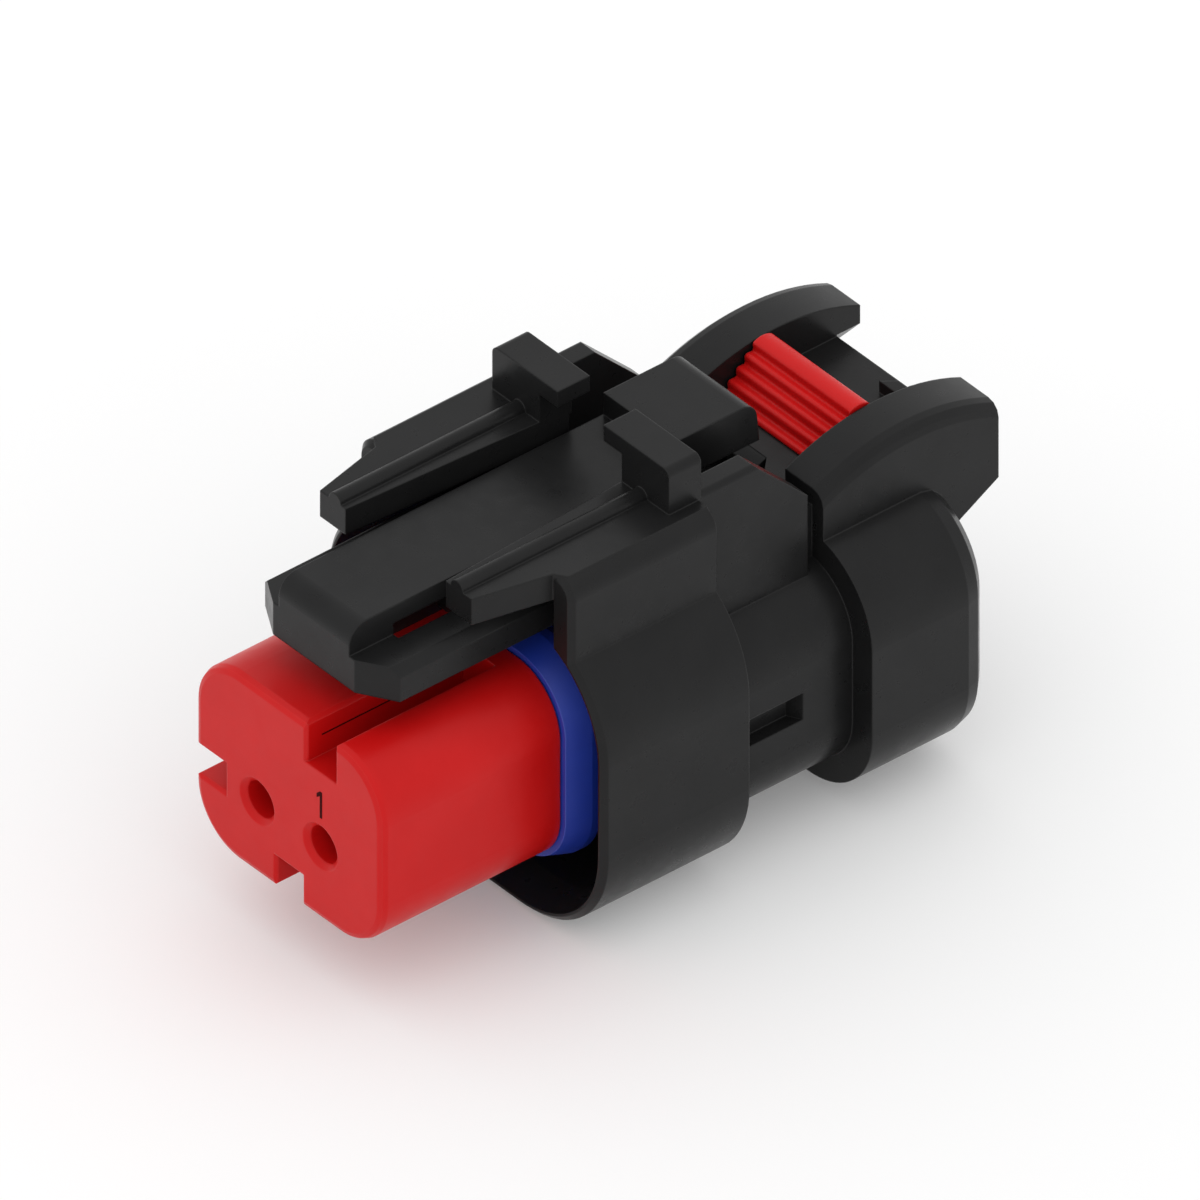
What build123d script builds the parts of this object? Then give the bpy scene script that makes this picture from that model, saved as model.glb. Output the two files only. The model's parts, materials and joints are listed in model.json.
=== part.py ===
from build123d import *
from math import cos, radians, sin
import os

# Sealed two-way plug housing, in millimetres.
# X runs across, Y from the nose to the wires, Z up.
# Sizes are measured from the nose's front face and from the level of the pin axes.

# Pins and contacts
pin_pitch = 5.6
pin_bore_radius = 1.2
pin_bore_length = 3.0
pin_mouth_radius = 1.55
pin_mouth_depth = 0.32
contact_radius = 1.7
wire_hole_radius = 1.3
retainer_hole_radius = 1.75

# Red nose
nose_half_width = 8.3
nose_top = 8.1
nose_drop = 5.2
nose_corner = 3.8
nose_length = 13.3
nose_edge = 0.45
nose_edge_steps = 2
key_length = 11.8
key_edge = 0.25
key_flare = 0.2
top_key_width = 2.55
top_key_floor = 5.3
side_key_height = 2.05
side_key_wall = 5.5
bottom_key_width = 2.3
bottom_key_ceiling = 2.85
spigot_half_width = 5.3
spigot_half_height = 2.5
spigot_corner = 1.2
spigot_length = 5.0
spigot_room = 0.3
lock_travel = 1.5

# Seal round the core
seal_depth = 0.9
seal_sleeve = 0.35
seal_ridge = 0.85
seal_ramp = 1.6
seal_land = 0.6
seal_fall = 0.7
seal_gap = 1.2

# Shroud and its raised neck
shroud_front = 13.1
shroud_length = 10.88
shroud_half_width = 12.4
seat_height = 9.35
shroud_shoulder = 12.0
shroud_corner = 7.4
shroud_wall = 1.1
rim_wall = 0.5
rim_edge = 0.35
lead_in = 2.5
back_wall = 1.5
neck_half_width = 9.5
neck_top = 16.1
neck_corner = 1.3
neck_wall = 1.55

# Rails on the neck, and the bridge stops over the latch
rail_front = 8.0
rail_thickness = 1.85
rail_tip_inner = 4.45
rail_tip_outer = 6.75
rail_inner = 3.66
rail_outer = 7.9
bead_offset = 5.42
bead_radius = 0.55
stop_length = 2.4
stop_overhang = 0.2
stop_height = 3.1
stop_outer = 7.86
stop_reach = 1.61
stop_arm = 1.13
stop_corner = 0.5

# Latch arm with its thumb pad
arm_front = 1.88
arm_half_width = 3.13
arm_bottom = 10.58
arm_top = 14.9
arm_waist = 12.0
arm_nose_radius = 1.3
flange_thickness = 2.3
flange_tip = 3.62
flange_half_width = 6.0
flange_slant = 1.4
flange_length = 14.6
flange_edge = 0.6
window_start = 3.3
window_length = 4.25
window_height = 3.07
window_half_width = 3.58
latch_core_half_width = 1.9
hollow_length = 8.6
hollow_depth = 1.1
roof_thickness = 0.65
pad_front = 26.1
pad_length = 6.4
pad_height = 2.86
pad_lift = 1.53
pad_corner = 1.1
pad_slant = 0.3
web_half_width = 2.6
web_thickness = 1.1
channel_floor = 10.9

# Mid body with its side pockets
body_half_width = 10.45
body_drop = 6.93
body_top = 7.1
body_corner = 4.2
pocket_depth = 0.94
pocket_drop = 0.84
pocket_height = 1.9
pocket_length = 5.1
pocket_ramp = 0.55

# Side walls and deck behind the neck
wall_thickness = 1.5
wall_top = 16.45
wall_flat = 4.2
wall_length = 8.15
wall_edge = 0.35
wall_root = 1.5
deck_top = 10.7
deck_rear = 44.65
deck_thickness = 1.0
notch_half_width = 1.77
notch_rear = 34.15
notch_flare = 1.3
notch_length = 4.2
gusset_front = 43.1
gusset_rear = 43.95
gusset_tip = 1.13
gusset_rear_tip = 1.82
gusset_height = 0.8
slot_half_width = 1.2
slot_front = 36.2
slot_length = 3.6
foot_room = 1.2
foot_half_width = 2.4
tongue_half_width = 1.5
tongue_front = 36.0

# Rear collar
collar_front = 33.3
collar_length = 9.0
collar_half_width = 12.2
collar_drop = 8.55
collar_top = 8.8
collar_corner = 5.7
collar_edge = 1.8
collar_edge_steps = 3

# Finger guards
guard_inner = 4.46
guard_outer = 7.85
guard_front_top = 11.85
guard_peak = 13.5
guard_peak_place = 7.3
guard_rear = 46.38
guard_rear_top = 12.1
guard_heel = 6.9
guard_slope = 0.573
guard_edge = 0.9
guard_edge_steps = 3
guard_root = 1.5
mouth_half_width = 7.75
mouth_top = 9.35
mouth_corner = 6.0
mouth_flare = 0.65
mouth_rise = 0.6
guard_skin = 0.65
guard_inner_heel = 10.8

# Wire seal and its retainer
cavity_half_width = 7.7
cavity_half_height = 5.5
cavity_corner = 4.6
cavity_length = 8.8
wire_seal_length = 5.8
wire_seal_waist = 0.5
wire_seal_ribs = 2
wire_seal_rib = 0.8
retainer_thickness = 2.0
snap_height = 2.4
snap_reach = 0.5
snap_length = 1.0

# Ribbed lock slider
slider_rear = 39.85
slider_top = 13.6
slider_rib_radius = 0.42
slider_rib_step = 0.63
slider_ribs = 5
slider_first_rib = 38.6
slider_rear_edge = 0.5
slider_travel = 2.4

# How far joined shapes reach into each other, and how far cutters pass a face
fuse = 0.5
over = 1.0
skim = 0.01

# Clearances
running_gap = 0.08
side_gap = 0.16
under_gap = 0.1
seat_gap = 0.05
snap_gap = 0.1

# Worked out from the sizes above
shroud_rear = shroud_front + shroud_length
collar_rear = collar_front + collar_length
cavity_front = collar_rear - cavity_length
overall_length = guard_rear
slot_rear = slot_front + slot_length
room_top = deck_top - deck_thickness
room_floor = room_top - foot_room
stem_length = slot_length - slider_travel - 2 * under_gap
stem_front = slot_rear - under_gap - stem_length
core_face = nose_length + seat_gap
seal_length = seal_ramp + 2 * seal_land + 3 * seal_fall + seal_gap
back_wall_front = shroud_rear - back_wall
rail_bottom = neck_top - rail_thickness
stop_front = shroud_rear + stop_overhang - stop_length
pin_places = (-pin_pitch / 2, pin_pitch / 2)


def cross_plane(y):
    """Plane across the part at y: its own x is X, and its own y is Z."""
    return Plane(origin=(0, y, 0), x_dir=(1, 0, 0), z_dir=(0, -1, 0))


def along_y(section, start, end):
    return extrude(cross_plane(start) * section, amount=end - start, dir=(0, 1, 0))


def along_x(profile, start, end):
    """Solid from a side profile, whose points are (Y, Z)."""
    return extrude(Plane.YZ.offset(start) * profile, amount=end - start, dir=(1, 0, 0))


def along_z(plan, start, end):
    return extrude(Plane.XY.offset(start) * plan, amount=end - start, dir=(0, 0, 1))


def block(x0, x1, y0, y1, z0, z1):
    middle = Pos((x0 + x1) / 2, (y0 + y1) / 2, (z0 + z1) / 2)
    return middle * Box(x1 - x0, y1 - y0, z1 - z0)


def rod(x, z, radius, start, end):
    return along_y(Pos(x, z) * Circle(radius), start, end)


def mirrored(solid):
    return solid + mirror(solid, about=Plane.YZ)


def outline(half_width, drop, top, corner, grow=0.0):
    """Rounded outline across the part, grown all round by grow."""
    width = 2 * (half_width + grow)
    height = drop + top + 2 * grow
    return Pos(0, (top - drop) / 2) * RectangleRounded(width, height, corner + grow)


def round_end(section_at, front, end, radius, steps):
    """Sections of an edge rounded in flat steps, from its inset face at front towards end."""
    way = 1 if end > front else -1
    sections = []
    for step in range(steps + 1):
        angle = radians(90 * step / steps)
        inset = radius * (1 - sin(angle))
        sections.append(cross_plane(front + way * radius * (1 - cos(angle))) * section_at(-inset))
    return sections


def nose_outline(grow=0.0):
    return outline(nose_half_width, nose_drop, nose_top, nose_corner, grow)


def spigot_outline(grow=0.0):
    return outline(spigot_half_width, spigot_half_height, spigot_half_height, spigot_corner, grow)


def shroud_outline(grow=0.0):
    return outline(shroud_half_width, seat_height, shroud_shoulder, shroud_corner, grow)


def collar_outline(grow=0.0):
    return outline(collar_half_width, collar_drop, collar_top, collar_corner, grow)


def cavity_outline(grow=0.0):
    return outline(cavity_half_width, cavity_half_height, cavity_half_height, cavity_corner, grow)


def key_slot(width, inner, outer):
    """Slot cutter that opens upwards, eased where it meets the outer face and the front face."""
    half = width / 2
    wide = half + key_edge
    section = Polygon(
        (-half, inner),
        (half, inner),
        (half, outer - key_edge),
        (wide, outer),
        (wide, outer + over),
        (-wide, outer + over),
        (-wide, outer),
        (-half, outer - key_edge),
        align=None,
    )
    flare = half + key_flare + over
    plan = Polygon((-half, key_flare), (half, key_flare), (flare, -over), (-flare, -over), align=None)
    return along_y(section, -over, key_length) + along_z(plan, inner, outer + over)


def front_lock():
    """Red nose: a keyed block with two pin mouths, and a spigot that reaches into the core."""
    sections = round_end(nose_outline, 0, nose_length, nose_edge, nose_edge_steps)
    nose = loft(sections + [cross_plane(nose_length) * nose_outline()], ruled=True)
    nose = nose - Pos(pin_pitch / 2, 0, 0) * key_slot(top_key_width, top_key_floor, nose_top)
    nose = nose - Rot(0, -90, 0) * key_slot(side_key_height, side_key_wall, nose_half_width)
    nose = nose - Rot(0, 180, 0) * key_slot(bottom_key_width, bottom_key_ceiling, nose_drop)
    nose = nose + along_y(spigot_outline(), nose_length - fuse, nose_length + spigot_length)
    for x in pin_places:
        mouth = Cone(pin_mouth_radius, pin_bore_radius, pin_mouth_depth)
        mouth = Rot(-90, 0, 0) * mouth
        nose = nose - Pos(x, pin_mouth_depth / 2, 0) * mouth
        nose = nose - rod(x, 0, pin_bore_radius, 0, pin_bore_length + fuse)
        nose = nose - rod(x, 0, contact_radius, pin_bore_length, nose_length + spigot_length + over)
    return nose


def interface_seal():
    """Blue ring on the core with two ridges, the front one with a long ramp."""
    start = core_face + seat_gap
    place = start
    sections = []
    for ramp in (seal_ramp, seal_fall):
        ridge = ((0, seal_sleeve), (ramp, seal_ridge), (seal_land, seal_ridge), (seal_fall, seal_sleeve))
        for step, grow in ridge:
            place += step
            sections.append(cross_plane(place) * nose_outline(grow))
        place += seal_gap
    ring = loft(sections, ruled=True)
    return ring - along_y(nose_outline(-seal_depth), start - over, place + over)


def shroud():
    """Mating shroud with its raised neck, open in front and closed behind."""
    skirt = along_y(shroud_outline(), shroud_front, shroud_rear)
    neck_middle = neck_top / 2
    neck = Pos(0, neck_middle) * Rectangle(2 * neck_half_width, neck_top)
    neck = fillet(neck.vertices().group_by(Axis.Y)[-1], neck_corner)
    shell = skirt + along_y(neck, shroud_front, shroud_rear)
    front = shell.faces().sort_by(Axis.Y)[0]
    shell = chamfer(front.edges(), rim_edge)
    mouth = [
        cross_plane(shroud_front - skim) * shroud_outline(-rim_wall),
        cross_plane(shroud_front + lead_in) * shroud_outline(-shroud_wall),
    ]
    shell = shell - loft(mouth, ruled=True)
    shell = shell - along_y(shroud_outline(-shroud_wall), shroud_front + lead_in - fuse, back_wall_front)
    inner = neck_half_width - neck_wall
    shell = shell - block(-inner, inner, shroud_front - over, back_wall_front, 0, neck_top + over)
    return shell - block(
        -rail_inner, rail_inner,
        back_wall_front - over, shroud_rear + over,
        channel_floor, neck_top + over,
    )


def rails():
    """Two rails beside the latch: cantilevers in front of the neck, and its roof further back."""
    plan = Polygon(
        (rail_tip_inner, rail_front),
        (rail_tip_outer, rail_front),
        (rail_outer, shroud_front),
        (rail_outer + neck_wall / 2, shroud_front + fuse),
        (rail_outer + neck_wall / 2, shroud_rear),
        (rail_inner, shroud_rear),
        (rail_inner, stop_front),
        align=None,
    )
    rail = along_z(plan, rail_bottom, neck_top)
    rail = rail + rod(bead_offset, neck_top, bead_radius, rail_front, stop_front + fuse)
    return mirrored(rail)


def bridge_stops():
    """Hooked blocks on the rails that keep the latch from being lifted too far."""
    top = neck_top + stop_height
    section = Polygon(
        (rail_inner, neck_top - fuse),
        (stop_outer, neck_top - fuse),
        (stop_outer, top),
        (rail_inner - stop_reach, top),
        (rail_inner - stop_reach, top - stop_arm),
        (rail_inner, top - stop_arm),
        align=None,
    )
    corner = section.vertices().sort_by(Axis.X)[-2:].sort_by(Axis.Y)[-1:]
    section = fillet(corner, stop_corner)
    return mirrored(along_y(section, stop_front, stop_front + stop_length))


def core():
    """Core in the shroud, with the seat for the seal and the pocket for the nose's spigot."""
    seat_end = core_face + seal_length + 2 * seat_gap
    post = along_y(nose_outline(-seal_depth), core_face, seat_end)
    post = post + along_y(nose_outline(), seat_end, shroud_rear - fuse)
    pocket_end = nose_length + spigot_length + spigot_room
    return post - along_y(spigot_outline(running_gap), core_face - over, pocket_end)


def mid_body():
    section = outline(body_half_width, body_drop, body_top, body_corner)
    body = along_y(section, shroud_rear - fuse, collar_front + fuse)
    floor = body_half_width - pocket_depth
    outside = body_half_width + over
    ramp_end = shroud_rear + pocket_length + pocket_ramp * (pocket_depth + over) / pocket_depth
    plan = Polygon(
        (floor, shroud_rear),
        (outside, shroud_rear),
        (outside, ramp_end),
        (floor, shroud_rear + pocket_length),
        align=None,
    )
    pocket = along_z(plan, -pocket_drop, pocket_height - pocket_drop)
    return body - mirrored(pocket)


def side_walls():
    """Walls that guard the thumb pad, sloped down towards the collar."""
    flat_end = shroud_rear + wall_flat
    end = shroud_rear + wall_length
    profile = Polygon(
        (shroud_rear - fuse, body_top - wall_root),
        (shroud_rear - fuse, wall_top),
        (flat_end, wall_top),
        (end, wall_top - (end - flat_end)),
        (end, body_top - wall_root),
        align=None,
    )
    wall = along_x(profile, stop_outer - wall_thickness, stop_outer)
    edges = wall.edges().filter_by(Axis.Y).sort_by(Axis.Z)[-2:]
    wall = fillet(edges.sort_by(Axis.X)[-1:], wall_edge)
    return mirrored(wall)


def deck():
    """Deck for the slider, between the walls and then between the finger guards."""
    inner = stop_outer - wall_thickness + fuse
    bottom = body_top - wall_root
    wide = block(-inner, inner, shroud_rear - fuse, collar_front + fuse, bottom, deck_top)
    inner = guard_inner + fuse
    narrow = block(-inner, inner, collar_front, deck_rear, bottom, deck_top)
    return wide + narrow + gusset()


def gusset():
    """Small raised gusset in front of the deck's rear edge, against one finger guard."""
    plan = Polygon(
        (gusset_tip, gusset_front),
        (guard_inner + fuse, gusset_front),
        (guard_inner + fuse, gusset_rear),
        (gusset_rear_tip, gusset_rear),
        align=None,
    )
    return along_z(plan, deck_top - fuse, deck_top + gusset_height)


def slider_room():
    """Slot in the deck for the slider's stem, room for its foot below, and the notch ahead."""
    slot = block(-slot_half_width, slot_half_width, slot_front, slot_rear, room_floor, deck_top + over)
    wide = foot_half_width + running_gap
    front = notch_rear - notch_length
    room = block(-wide, wide, front, slot_rear, room_floor, room_top)
    plan = Polygon(
        (-notch_half_width, notch_rear),
        (notch_half_width, notch_rear),
        (notch_half_width + notch_flare, notch_rear - notch_flare),
        (notch_half_width + notch_flare, front),
        (-notch_half_width - notch_flare, front),
        (-notch_half_width - notch_flare, notch_rear - notch_flare),
        align=None,
    )
    return slot + room + along_z(plan, room_floor, deck_top + over)


def collar():
    sections = round_end(collar_outline, collar_rear, collar_front, collar_edge, collar_edge_steps)
    return loft(sections + [cross_plane(collar_front) * collar_outline()], ruled=True)


def guard_profile(x, drop=0.0):
    """Side profile of a finger guard at x, with its curved top lowered by drop."""
    front_point = (collar_front, guard_front_top - drop)
    peak = (collar_front + guard_peak_place, guard_peak - drop)
    rear_point = (guard_rear, guard_rear_top - drop)
    heel = (guard_rear, guard_heel)
    run = guard_rear - collar_rear + guard_root
    foot = (guard_rear - run, guard_heel - guard_slope * run)
    base = (collar_front, foot[1])
    profile = make_face([
        ThreePointArc(front_point, peak, rear_point),
        Line(rear_point, heel),
        Line(heel, foot),
        Line(foot, base),
        Line(base, front_point),
    ])
    return Plane.YZ.offset(x) * profile


def finger_guards():
    """Curved guards on both sides of the slider, reaching back over the wires."""
    sections = [guard_profile(guard_inner)]
    for step in range(guard_edge_steps + 1):
        angle = radians(90 * step / guard_edge_steps)
        x = guard_outer - guard_edge * (1 - sin(angle))
        sections.append(guard_profile(x, guard_edge * (1 - cos(angle))))
    return mirrored(loft(sections, ruled=True))


def wire_mouth():
    """Flared room for the wires under the guards, behind the collar."""
    front = outline(mouth_half_width, mouth_top, mouth_top, mouth_corner)
    rise = mouth_top + mouth_rise
    rear = outline(mouth_half_width + mouth_flare, rise, rise, mouth_corner)
    mouth = loft([cross_plane(collar_rear) * front, cross_plane(guard_rear + skim) * rear], ruled=True)
    return mouth + mirrored(guard_underside())


def guard_underside():
    """Slanted cut under a finger guard, that leaves its outer skin."""
    slant = (guard_inner_heel - guard_heel) / (guard_outer - guard_inner)
    inside = guard_inner - fuse
    outside = guard_outer - guard_skin
    section = Polygon(
        (inside, guard_inner_heel + fuse * slant),
        (outside, guard_heel + guard_skin * slant),
        (outside, 0),
        (inside, 0),
        align=None,
    )
    return along_y(section, deck_rear, guard_rear + over)


def latch_arm():
    """Latch: a flanged nose with a window, an arm over the neck and a raised thumb pad."""
    flange_end = arm_front + flange_length
    plan = Polygon(
        (-flange_tip, arm_front),
        (flange_tip, arm_front),
        (flange_half_width, arm_front + flange_slant),
        (flange_half_width, flange_end),
        (-flange_half_width, flange_end),
        (-flange_half_width, arm_front + flange_slant),
        align=None,
    )
    flange = along_z(plan, arm_bottom, arm_bottom + flange_thickness)
    long_edges = flange.edges().filter_by(Axis.Y).group_by(Axis.Z)[-1]
    flange = chamfer(long_edges, flange_edge)
    profile = Polygon(
        (arm_front, arm_bottom),
        (arm_front, arm_top),
        (pad_front + fuse, arm_top),
        (pad_front + fuse, arm_waist),
        (flange_end, arm_waist),
        (flange_end, arm_bottom),
        align=None,
    )
    profile = fillet(profile.vertices().sort_by(Axis.X)[:2].sort_by(Axis.Y)[-1:], arm_nose_radius)
    arm = flange + along_x(profile, -arm_half_width, arm_half_width)
    return arm - latch_hollow() + thumb_pad() + flexing_web()


def latch_hollow():
    """Room under the latch for the mating half's catch, open at both sides through a window."""
    front = arm_front + window_start
    wide = window_half_width
    narrow = latch_core_half_width
    window = block(narrow, wide, front, front + window_length, arm_bottom, arm_bottom + window_height)
    roof = arm_bottom + flange_thickness - roof_thickness
    side = block(narrow, wide, front, front + hollow_length, arm_bottom - over, roof)
    middle = block(-wide, wide, front, front + hollow_length, arm_bottom - over, arm_bottom + hollow_depth)
    return mirrored(window + side) + middle


def thumb_pad():
    top = arm_top + pad_lift
    bottom = top - pad_height
    rear = pad_front + pad_length
    profile = Polygon(
        (pad_front, bottom), (pad_front, top), (rear - pad_slant, top), (rear, bottom), align=None,
    )
    corner = profile.vertices().sort_by(Axis.Y)[-2:].sort_by(Axis.X)[-1:]
    profile = fillet(corner, pad_corner)
    return along_x(profile, -arm_half_width, arm_half_width)


def flexing_web():
    """Thin web that carries the arm on the shroud's back wall."""
    middle = shroud_rear - back_wall / 2
    half = web_thickness / 2
    return block(
        -web_half_width, web_half_width,
        middle - half, middle + half,
        channel_floor - fuse, arm_waist + fuse,
    )


def housing():
    """The black moulding, in one piece."""
    body = shroud() + rails() + bridge_stops() + core()
    body = body + mid_body() + side_walls() + collar() + finger_guards() + deck()
    body = body - wire_mouth() - slider_room()
    body = body - along_y(cavity_outline(), cavity_front, collar_rear + skim)
    pocket_end = nose_length + spigot_length
    for x in pin_places:
        body = body - rod(x, 0, contact_radius, pocket_end, cavity_front + fuse)
    body = body - snap_nibs(snap_gap)
    return body + latch_arm()


def retainer_rear():
    return cavity_front + wire_seal_length + retainer_thickness + 2 * seat_gap


def snap_nibs(gap=0.0):
    """Nibs at both sides of the retainer, or with a gap the pockets that they snap into."""
    middle = retainer_rear() - retainer_thickness / 2
    reach = cavity_half_width + snap_reach + gap
    half_length = snap_length / 2 + gap
    half_height = snap_height / 2 + gap
    return block(-reach, reach, middle - half_length, middle + half_length, -half_height, half_height)


def wire_seal():
    """Rubber block with ribs round it and two wire holes."""
    start = cavity_front + seat_gap
    end = start + wire_seal_length
    seal = along_y(cavity_outline(-wire_seal_waist), start, end)
    step = (wire_seal_length - wire_seal_rib) / (wire_seal_ribs - 1)
    for number in range(wire_seal_ribs):
        rib_start = start + number * step
        seal = seal + along_y(cavity_outline(-running_gap), rib_start, rib_start + wire_seal_rib)
    for x in pin_places:
        seal = seal - rod(x, 0, wire_hole_radius, start - over, end + over)
    return seal


def rear_retainer():
    """Cap that keeps the wire seal in the collar."""
    end = retainer_rear()
    cap = along_y(cavity_outline(-running_gap), end - retainer_thickness, end)
    cap = cap + snap_nibs()
    for x in pin_places:
        cap = cap - rod(x, 0, retainer_hole_radius, end - retainer_thickness - over, end + over)
    return cap


def slider_head(half_width):
    """The slider's head: a flat back, and rounded ribs down its front slope."""
    radius = slider_rib_radius
    first_height = slider_top - radius
    last_drop = (slider_ribs - 1) * slider_rib_step
    bottom = deck_top + seat_gap
    profile = Polygon(
        (slider_first_rib, slider_top),
        (slider_rear, slider_top - radius / 2),
        (slider_rear, bottom - over),
        (slider_first_rib - last_drop, bottom - over),
        (slider_first_rib - last_drop, first_height - last_drop),
        (slider_first_rib, first_height),
        align=None,
    )
    top_rear = profile.vertices().sort_by(Axis.X)[-2:].sort_by(Axis.Y)[-1:]
    head = along_x(fillet(top_rear, slider_rear_edge), -half_width, half_width)
    for number in range(slider_ribs):
        drop = number * slider_rib_step
        rib = Pos(slider_first_rib - drop, first_height - drop) * Circle(radius)
        head = head + along_x(rib, -half_width, half_width)
    return head - block(-half_width, half_width, 0, guard_rear, 0, bottom)


def lock_slider():
    """Red position slider: a ribbed head on a stem, with a foot and a tongue under the deck."""
    head = slider_head(guard_inner - side_gap)
    stem_half = slot_half_width - running_gap
    stem_rear = stem_front + stem_length
    bottom = room_floor + under_gap
    foot_top = room_top - seat_gap
    stem = block(-stem_half, stem_half, stem_front, stem_rear, bottom, deck_top + fuse)
    foot_front = stem_rear - slider_travel
    foot = block(-foot_half_width, foot_half_width, foot_front, stem_rear, bottom, foot_top)
    half = tongue_half_width
    tongue = block(-half, half, tongue_front, stem_rear, bottom, foot_top)
    return head + stem + foot + tongue


def placed(solid):
    """Moves a piece so that the part stands on the origin plane, centred along its length."""
    return Pos(0, -overall_length / 2, seat_height) * solid


nodes = {
    "housing": housing(),
    "front_lock": front_lock(),
    "interface_seal": interface_seal(),
    "wire_seal": wire_seal(),
    "rear_retainer": rear_retainer(),
    "lock_slider": lock_slider(),
}

os.makedirs("parts", exist_ok=True)
for name, solid in nodes.items():
    export_step(placed(solid), f"parts/{name}.step")
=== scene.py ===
import json
from math import pi, sin, sqrt

import bmesh
import bpy
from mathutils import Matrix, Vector


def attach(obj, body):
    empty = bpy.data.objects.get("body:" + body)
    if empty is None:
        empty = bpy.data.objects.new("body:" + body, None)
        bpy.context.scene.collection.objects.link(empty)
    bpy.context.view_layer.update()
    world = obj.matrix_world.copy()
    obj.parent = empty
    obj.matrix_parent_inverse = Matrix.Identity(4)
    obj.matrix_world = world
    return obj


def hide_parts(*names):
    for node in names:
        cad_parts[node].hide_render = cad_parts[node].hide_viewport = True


# Lengths are in metres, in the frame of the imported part.
MM = 0.001
NOSE_FRONT = -23.19 * MM
PIN_LEVEL = 9.35 * MM
PIN_PITCH = 5.6 * MM
TOP_KEY_WIDTH = 2.55 * MM

# Surface of all the mouldings: noise scales are in cycles for each metre.
MOTTLE_SCALE = 260.0
GLOSS_SCALE = 900.0
GRAIN_HEIGHT = 0.01 * MM
# Width of the band along edges that gets a painted highlight: a lighter colour in place of the
# light that small fillets catch.
EDGE_HIGHLIGHT_WIDTH = 0.12 * MM

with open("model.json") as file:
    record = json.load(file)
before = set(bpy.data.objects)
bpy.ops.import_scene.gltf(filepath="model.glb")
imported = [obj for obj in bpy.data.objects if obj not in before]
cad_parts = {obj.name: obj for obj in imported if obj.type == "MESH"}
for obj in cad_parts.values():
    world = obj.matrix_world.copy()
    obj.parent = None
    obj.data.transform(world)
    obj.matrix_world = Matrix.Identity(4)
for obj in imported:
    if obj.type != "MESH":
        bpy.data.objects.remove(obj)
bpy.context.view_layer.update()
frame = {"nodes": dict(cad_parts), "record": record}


def node(tree, kind, inputs=(), **properties):
    """Adds a shader node, and sets its properties and its inputs."""
    made = tree.nodes.new(kind)
    for name, value in properties.items():
        setattr(made, name, value)
    for name, value in dict(inputs).items():
        made.inputs[name].default_value = value
    return made


def noise(tree, scale, detail=3.0):
    """Noise over the object's own coordinates, as a factor."""
    place = node(tree, "ShaderNodeTexCoord")
    made = node(tree, "ShaderNodeTexNoise", {"Scale": scale, "Detail": detail, "Roughness": 0.55})
    tree.links.new(place.outputs["Object"], made.inputs["Vector"])
    return made.outputs["Fac"]


def spread(tree, factor, low, high, start=0.3, end=0.7):
    """Maps a factor's range from start to end onto low to high."""
    ends = {"From Min": start, "From Max": end, "To Min": low, "To Max": high}
    made = node(tree, "ShaderNodeMapRange", ends)
    tree.links.new(factor, made.inputs["Value"])
    return made.outputs["Result"]


def mixed(tree, factor, first, second):
    """Mixes two colours, each a socket or a value, by a factor."""
    made = node(tree, "ShaderNodeMix", data_type="RGBA")
    tree.links.new(factor, made.inputs["Factor"])
    for socket, colour in ((made.inputs["A"], first), (made.inputs["B"], second)):
        if isinstance(colour, tuple):
            socket.default_value = (*colour, 1.0)
        else:
            tree.links.new(colour, socket)
    return made.outputs["Result"]


def edge_mask(tree, radius):
    """Is near 1 on edges, where the rounded normal leaves the true one, and 0 elsewhere."""
    rounded = node(tree, "ShaderNodeBevel", {"Radius": radius}, samples=6)
    true = node(tree, "ShaderNodeNewGeometry")
    dot = node(tree, "ShaderNodeVectorMath", operation="DOT_PRODUCT")
    tree.links.new(rounded.outputs["Normal"], dot.inputs[0])
    tree.links.new(true.outputs["Normal"], dot.inputs[1])
    return spread(tree, dot.outputs["Value"], 1.0, 0.0, start=0.8, end=0.99)


def new_material(name, ior):
    """New material with its tree and its shader."""
    material = bpy.data.materials.new(name)
    material.use_nodes = True
    tree = material.node_tree
    shader = tree.nodes["Principled BSDF"]
    shader.inputs["IOR"].default_value = ior
    return material, tree, shader


# The edge colour is a painted highlight, lighter than the body, laid along convex and concave
# edges.
def moulded(name, colour, faded, edge, ior, rough, grain, grain_depth, round_edges):
    """Moulded plastic or rubber: mottled colour, a painted highlight on the edges, uneven gloss
    and a fine grain.
    """
    material, tree, shader = new_material(name, ior)
    mottle = spread(tree, noise(tree, MOTTLE_SCALE), 0.0, 1.0)
    body = mixed(tree, mottle, colour, faded)
    # Painted highlight: edges and fillets, convex and concave, take the lighter edge colour in
    # place of the light lines that small roundings catch.
    edge_highlight = mixed(tree, edge_mask(tree, EDGE_HIGHLIGHT_WIDTH), body, edge)
    tree.links.new(edge_highlight, shader.inputs["Base Color"])
    gloss = spread(tree, noise(tree, GLOSS_SCALE, 4.0), rough - 0.04, rough + 0.05)
    tree.links.new(gloss, shader.inputs["Roughness"])
    rounded = node(tree, "ShaderNodeBevel", {"Radius": round_edges}, samples=8)
    bump = node(tree, "ShaderNodeBump", {"Strength": grain_depth, "Distance": GRAIN_HEIGHT})
    tree.links.new(noise(tree, grain, 2.0), bump.inputs["Height"])
    tree.links.new(rounded.outputs["Normal"], bump.inputs["Normal"])
    tree.links.new(bump.outputs["Normal"], shader.inputs["Normal"])
    return material


def black_plastic():
    return moulded(
        "black_plastic", (0.0112, 0.0112, 0.0114), (0.0142, 0.0142, 0.0144), (0.022, 0.022, 0.022),
        ior=1.255, rough=0.30, grain=9000.0, grain_depth=0.3, round_edges=0.14 * MM,
    )


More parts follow.
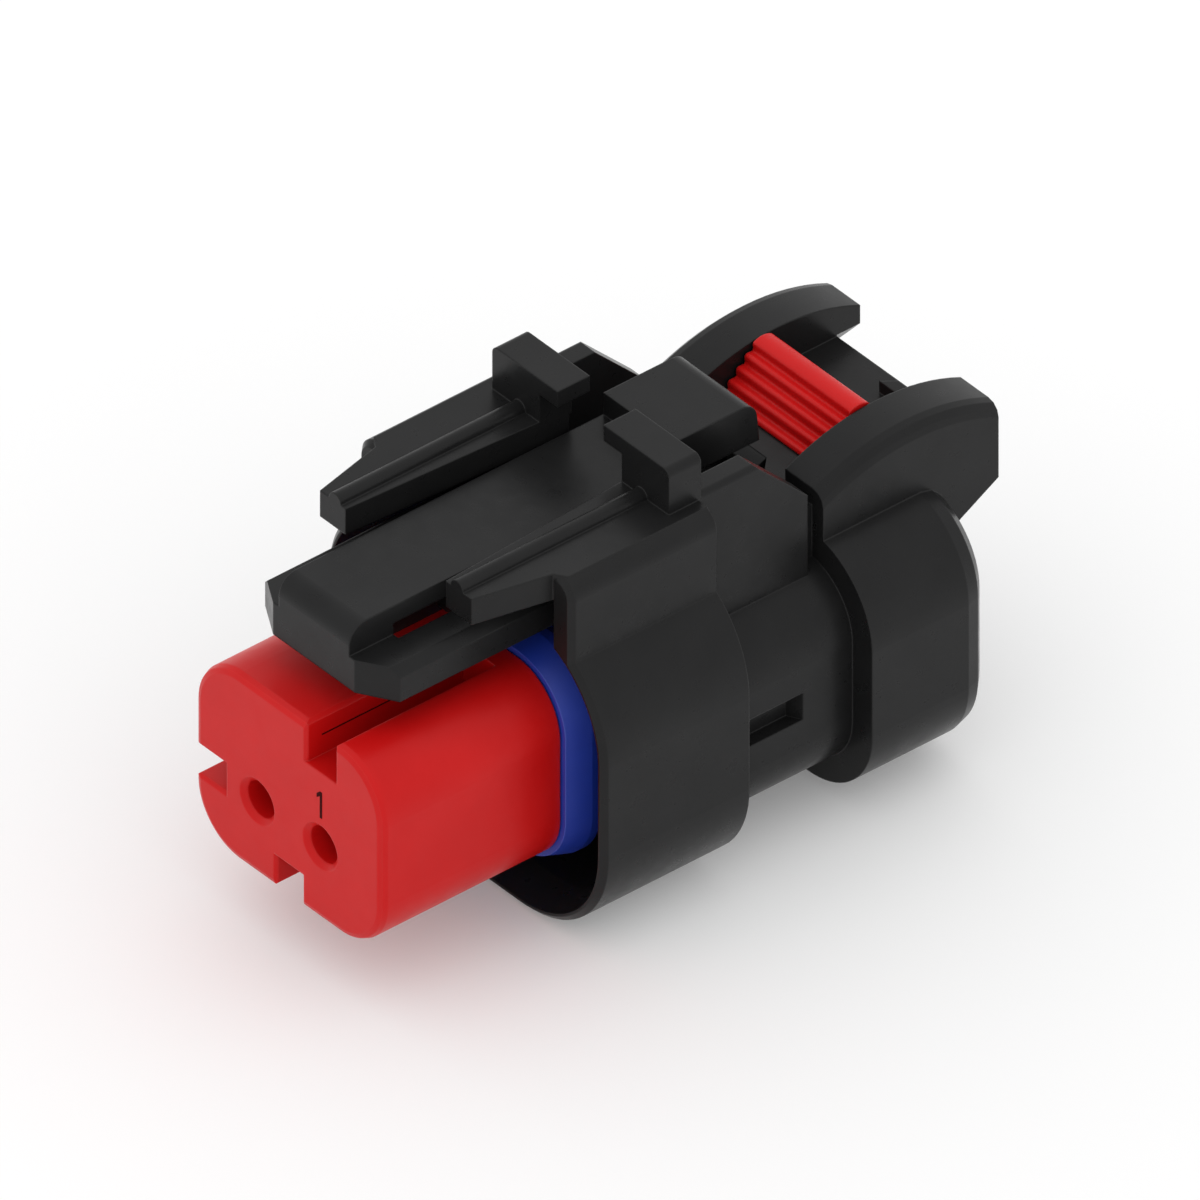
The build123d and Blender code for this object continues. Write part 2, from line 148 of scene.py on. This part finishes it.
def red_plastic():
    return moulded(
        "red_plastic", (0.58, 0.0055, 0.0055), (0.62, 0.008, 0.008), (0.68, 0.035, 0.033),
        ior=1.27, rough=0.36, grain=9000.0, grain_depth=0.25, round_edges=0.16 * MM,
    )


def blue_rubber():
    return moulded(
        "blue_rubber", (0.007, 0.036, 0.38), (0.009, 0.042, 0.42), (0.013, 0.05, 0.44),
        ior=1.7, rough=0.48, grain=5000.0, grain_depth=0.2, round_edges=0.08 * MM,
    )


def ink():
    """Dull dark red ink, with a slightly uneven surface."""
    material, tree, shader = new_material("ink", 1.15)
    mottle = spread(tree, noise(tree, 4000.0), 0.0, 1.0)
    colour = mixed(tree, mottle, (0.03, 0.001, 0.001), (0.045, 0.002, 0.002))
    tree.links.new(colour, shader.inputs["Base Color"])
    tree.links.new(spread(tree, noise(tree, 8000.0), 0.6, 0.8), shader.inputs["Roughness"])
    return material


def dress_nodes(by_slot):
    """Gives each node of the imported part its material."""
    for piece in frame["record"]["subparts"]:
        shown = frame["nodes"][piece["node"]]
        shown.data.materials.clear()
        shown.data.materials.append(by_slot[piece["material_slot"]])
        for face in shown.data.polygons:
            face.material_index = 0


def placed(name, data):
    """New object in the scene with this mesh or camera."""
    made = bpy.data.objects.new(name, data)
    bpy.context.scene.collection.objects.link(made)
    return made


def slab(name, outline, normal, depth):
    """Closed solid over a flat outline, as deep as given along the normal."""
    mesh = bmesh.new()
    bottom = [mesh.verts.new(point) for point in outline]
    top = [mesh.verts.new(Vector(point) + Vector(normal) * depth) for point in outline]
    mesh.faces.new(bottom)
    mesh.faces.new(list(reversed(top)))
    count = len(outline)
    for i in range(count):
        j = (i + 1) % count
        mesh.faces.new([bottom[j], bottom[i], top[i], top[j]])
    bmesh.ops.recalc_face_normals(mesh, faces=mesh.faces)
    data = bpy.data.meshes.new(name)
    mesh.to_mesh(data)
    mesh.free()
    return placed(name, data)


def joined(name, parts):
    """One closed mesh from solids that reach into each other."""
    whole = parts[0]
    for other in parts[1:]:
        union = whole.modifiers.new("union", "BOOLEAN")
        union.operation = "UNION"
        union.solver = "EXACT"
        union.object = other
    graph = bpy.context.evaluated_depsgraph_get()
    mesh = bpy.data.meshes.new_from_object(whole.evaluated_get(graph))
    mesh.name = name
    for part in parts:
        bpy.data.objects.remove(part)
    return placed(name, mesh)


def side_prism(name, profile, half_width):
    """Solid from a side profile of points (Y from the nose, Z from the pins), in millimetres."""
    half = half_width * MM
    outline = [(-half, NOSE_FRONT + y * MM, PIN_LEVEL + z * MM) for y, z in profile]
    return slab(name, outline, (1, 0, 0), 2 * half)


def side_block(name, front, rear, bottom, top, half_width):
    """Box from the side, in millimetres."""
    corners = [(front, bottom), (rear, bottom), (rear, top), (front, top)]
    return side_prism(name, corners, half_width)


def slider_profile():
    """Side profile of the slider's head: a domed top, and waves down its front slope."""
    base = 10.75
    rear, front = 39.85, 35.7
    rear_edge = [(rear, 13.1), (39.82, 13.22), (39.74, 13.33)]
    dome_rear, dome_steps = 39.62, 12
    peak_y, peak_z, peak_bend = 38.95, 13.65, 0.413
    crest_y, crest_z = 38.303, 13.477
    wave_length, wave_depth, wave_power = 0.63 * sqrt(2), 0.32, 2.6
    waves, wave_steps = 4, 24
    profile = [(rear, base), *rear_edge]
    for step in range(dome_steps):
        y = dome_rear + (crest_y - dome_rear) * step / dome_steps
        profile.append((y, peak_z - peak_bend * (y - peak_y) ** 2))
    for step in range(waves * wave_steps + 1):
        down = wave_length * step / wave_steps
        dip = wave_depth * abs(sin(pi * step / wave_steps)) ** wave_power
        profile.append((crest_y - (down - dip) / sqrt(2), crest_z - (down + dip) / sqrt(2)))
    return profile + [(front, base)]


def lock_slider(material):
    """The slider with its ribs as smooth waves, on its stem, foot and tongue under the deck."""
    head_half, stem_half, foot_half, tongue_half = 4.3, 1.12, 2.4, 1.5
    stem_front, foot_front, tongue_front = 38.7, 37.3, 36.0
    rear, bottom, foot_top, stem_top = 39.7, 8.6, 9.65, 11.2
    sharp_angle = 0.7
    parts = [
        side_prism("head", slider_profile(), head_half),
        side_block("stem", stem_front, rear, bottom, stem_top, stem_half),
        side_block("foot", foot_front, rear, bottom, foot_top, foot_half),
        side_block("tongue", tongue_front, rear, bottom, foot_top, tongue_half),
    ]
    slider = joined("slider", parts)
    slider.data.shade_smooth()
    slider.data.set_sharp_from_angle(angle=sharp_angle)
    slider.data.materials.clear()
    slider.data.materials.append(material)
    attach(slider, "lock_slider")
    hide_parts("lock_slider")


def deck_lip(material):
    """Short lip of the deck in its notch, behind the thumb pad, which falls off to the front."""
    root, bottom, half_width = 34.2, 9.8, 1.75
    slope = [(root, 10.69), (34.0, 10.62), (33.3, 10.3)]
    lip = side_prism("deck_lip", [(root, bottom), *slope, (33.1, bottom)], half_width)
    lip.data.materials.append(material)
    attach(lip, "housing")


def cavity_number(material):
    """The figure 1 printed beside the right pin mouth."""
    foot, top, left, right = 2.08, 3.95, 2.78, 2.98
    flag = [(2.65, 3.82), (2.50, 3.68), (2.50, 3.40), (2.65, 3.50), (left, 3.62)]
    stroke = [(left, foot), (right, foot), (right, top), (left, top), *flag]
    outline = [(x * MM, NOSE_FRONT, PIN_LEVEL + z * MM) for x, z in stroke]
    mark = slab("cavity_number", outline, (0, -1, 0), 0.015 * MM)
    mark.data.materials.append(material)
    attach(mark, "front_lock")


def slot_witness_line(material):
    """Dark witness line along the left wall of the top keying slot."""
    x = (PIN_PITCH - TOP_KEY_WIDTH) / 2
    low = PIN_LEVEL + 6.66 * MM
    high = PIN_LEVEL + 6.76 * MM
    front = NOSE_FRONT + 1.2 * MM
    rear = NOSE_FRONT + 11.7 * MM
    outline = [(x, front, low), (x, rear, low), (x, rear, high), (x, front, high)]
    line = slab("slot_witness_line", outline, (1, 0, 0), 0.012 * MM)
    line.data.materials.append(material)
    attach(line, "front_lock")


def seen_directly(tree):
    """Is 1 for rays that show the background: from the camera, from gloss or through glass."""
    rays = node(tree, "ShaderNodeLightPath")
    seen = rays.outputs["Is Camera Ray"]
    for name in ("Is Glossy Ray", "Is Transmission Ray"):
        either = node(tree, "ShaderNodeMath", operation="MAXIMUM")
        tree.links.new(seen, either.inputs[0])
        tree.links.new(rays.outputs[name], either.inputs[1])
        seen = either.outputs[0]
    return seen


def pale_floor():
    """Pale paint that looks white where no shadow falls on it."""
    paleness, glow_strength = 0.85, 0.15
    material = bpy.data.materials.new("pale_floor")
    material.use_nodes = True
    tree = material.node_tree
    tree.nodes.clear()
    output = node(tree, "ShaderNodeOutputMaterial")
    plain = node(tree, "ShaderNodeBsdfDiffuse", {"Color": (paleness, paleness, paleness, 1)})
    glow = node(tree, "ShaderNodeEmission", {"Strength": glow_strength})
    both = node(tree, "ShaderNodeAddShader")
    tree.links.new(plain.outputs[0], both.inputs[0])
    tree.links.new(glow.outputs[0], both.inputs[1])
    pick = node(tree, "ShaderNodeMixShader")
    tree.links.new(seen_directly(tree), pick.inputs[0])
    tree.links.new(plain.outputs[0], pick.inputs[1])
    tree.links.new(both.outputs[0], pick.inputs[2])
    tree.links.new(pick.outputs[0], output.inputs["Surface"])
    return material


def floor():
    """White floor just under the object, which keeps its shadow."""
    half, drop = 0.6, 0.01 * MM
    corners = [(-half, -half, 0), (half, -half, 0), (half, half, 0), (-half, half, 0)]
    mesh = bpy.data.meshes.new("floor")
    mesh.from_pydata(corners, [], [(0, 1, 2, 3)])
    plane = placed("floor", mesh)
    plane.location.z = -drop
    mesh.materials.append(pale_floor())


def studio_world():
    """Soft white dome, brightest overhead and white where it is seen."""
    horizon, overhead = 0.85, 1.1
    world = bpy.data.worlds.new("studio")
    bpy.context.scene.world = world
    world.use_nodes = True
    tree = world.node_tree
    tree.nodes.clear()
    output = node(tree, "ShaderNodeOutputWorld")
    place = node(tree, "ShaderNodeTexCoord")
    split = node(tree, "ShaderNodeSeparateXYZ")
    tree.links.new(place.outputs["Generated"], split.inputs[0])
    dome = spread(tree, split.outputs["Z"], horizon, overhead, start=0.0, end=0.9)
    strength = node(tree, "ShaderNodeMix", data_type="FLOAT")
    tree.links.new(seen_directly(tree), strength.inputs["Factor"])
    tree.links.new(dome, strength.inputs["A"])
    strength.inputs["B"].default_value = 1.0
    sky = node(tree, "ShaderNodeBackground", {"Color": (1, 1, 1, 1)})
    tree.links.new(strength.outputs["Result"], sky.inputs["Strength"])
    tree.links.new(sky.outputs[0], output.inputs["Surface"])


def camera():
    """Camera at the photograph's angle: square on to the picture plane, with no perspective."""
    right = Vector((0.642788, 0.766044, 0.0))
    up = Vector((-0.461017, 0.386839, 0.798636))
    back = right.cross(up)
    # The middle between the pins, on the nose's front, is at this pixel of the photograph.
    pins_across, pins_down = 288.6, 824.1
    picture_side = 1200
    middle = picture_side // 2
    pixel = MM / 17.5
    distance = 0.5
    target = Vector((0, NOSE_FRONT, PIN_LEVEL))
    target += right * (middle - pins_across) * pixel + up * (pins_down - middle) * pixel
    data = bpy.data.cameras.new("camera")
    data.type = "ORTHO"
    data.ortho_scale = picture_side * pixel
    data.clip_start = 0.01
    data.clip_end = 5.0
    made = placed("camera", data)
    made.location = target + back * distance
    made.rotation_mode = "QUATERNION"
    made.rotation_quaternion = (-back).to_track_quat("-Z", "Y")
    bpy.context.scene.camera = made


materials = {
    "black_plastic": black_plastic(),
    "red_plastic": red_plastic(),
    "seal_rubber": blue_rubber(),
}
dress_nodes(materials)
lock_slider(materials["red_plastic"])
deck_lip(materials["black_plastic"])
printing = ink()
cavity_number(printing)
slot_witness_line(printing)
floor()
studio_world()
camera()
bpy.context.scene.view_settings.view_transform = "Standard"
